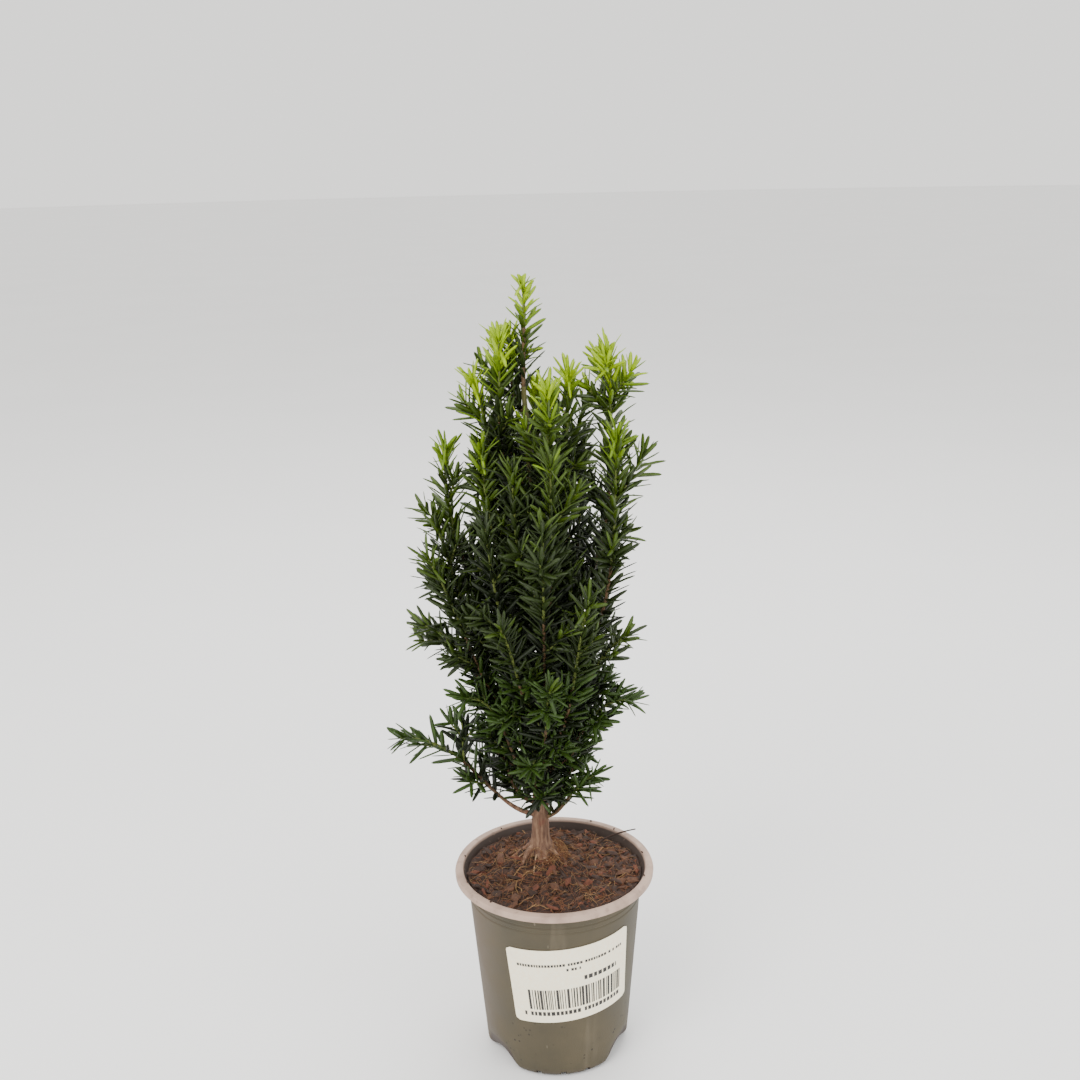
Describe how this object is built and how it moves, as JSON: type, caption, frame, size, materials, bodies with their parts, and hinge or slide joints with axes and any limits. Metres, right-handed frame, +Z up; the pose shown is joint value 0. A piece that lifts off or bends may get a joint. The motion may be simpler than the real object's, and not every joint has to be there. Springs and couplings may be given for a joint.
{
  "type": "potted hybrid yew",
  "caption": "Young upright evergreen shrub with a single trunk, ascending boughs and needle foliage, growing in a round tapered nursery pot filled with bark compost.",
  "frame": {"origin": "centre of the pot's flat underside, on the surface it stands on", "axes": "+Z up along the pot's axis, -Y towards the side with the label, +X to the right of that side"},
  "size_m": [0.1798, 0.1566, 0.5119],
  "materials": {
    "pot_plastic": "matt taupe moulded plastic, rim paler and dusty",
    "bark_compost": "loose reddish brown bark chips and fibre",
    "label_paper": null,
    "trunk_bark": "brown fibrous bark",
    "bough_bark": "thin brown green bark",
    "needle_foliage": "dark glossy needles, yellow green at the young tips"
  },
  "bodies": {
    "root": {"bough_back_middle": "bough_bark", "bough_front_middle": "bough_bark", "bough_left_feather": "bough_bark", "bough_left_low": "bough_bark", "bough_left_middle": "bough_bark", "bough_left_shoulder": "bough_bark", "bough_left_tall": "bough_bark", "bough_lowest_left": "bough_bark", "bough_right_column": "bough_bark", "bough_right_low": "bough_bark", "bough_right_middle": "bough_bark", "bough_right_tall": "bough_bark", "compost": "bark_compost", "foliage_back_high_left": "needle_foliage", "foliage_back_high_right": "needle_foliage", "foliage_back_left": "needle_foliage", "foliage_back_low": "needle_foliage", "foliage_back_low_right": "needle_foliage", "foliage_back_middle": "needle_foliage", "foliage_back_right": "needle_foliage", "foliage_back_top": "needle_foliage", "foliage_core_back": "needle_foliage", "foliage_core_back_high": "needle_foliage", "foliage_core_back_left": "needle_foliage", "foliage_core_back_low": "needle_foliage", "foliage_core_front": "needle_foliage", "foliage_core_high": "needle_foliage", "foliage_core_left": "needle_foliage", "foliage_core_low_left": "needle_foliage", "foliage_core_low_right": "needle_foliage", "foliage_core_right": "needle_foliage", "foliage_front_high": "needle_foliage", "foliage_front_high_left": "needle_foliage", "foliage_front_left": "needle_foliage", "foliage_front_low": "needle_foliage", "foliage_front_lowest": "needle_foliage", "foliage_front_middle": "needle_foliage", "foliage_front_right": "needle_foliage", "foliage_leader": "needle_foliage", "foliage_left_feather": "needle_foliage", "foliage_left_front": "needle_foliage", "foliage_left_inner": "needle_foliage", "foliage_left_low": "needle_foliage", "foliage_left_middle": "needle_foliage", "foliage_left_shoulder": "needle_foliage", "foliage_left_tall": "needle_foliage", "foliage_lowest_left": "needle_foliage", "foliage_lowest_right": "needle_foliage", "foliage_right_column": "needle_foliage", "foliage_right_low": "needle_foliage", "foliage_right_middle": "needle_foliage", "foliage_right_tall": "needle_foliage", "foliage_top_front": "needle_foliage", "foliage_top_left_inner": "needle_foliage", "foliage_top_left_outer": "needle_foliage", "foliage_top_right": "needle_foliage", "foliage_upper_left": "needle_foliage", "label": "label_paper", "pot": "pot_plastic", "trunk": "trunk_bark"}
  },
  "joints": []
}
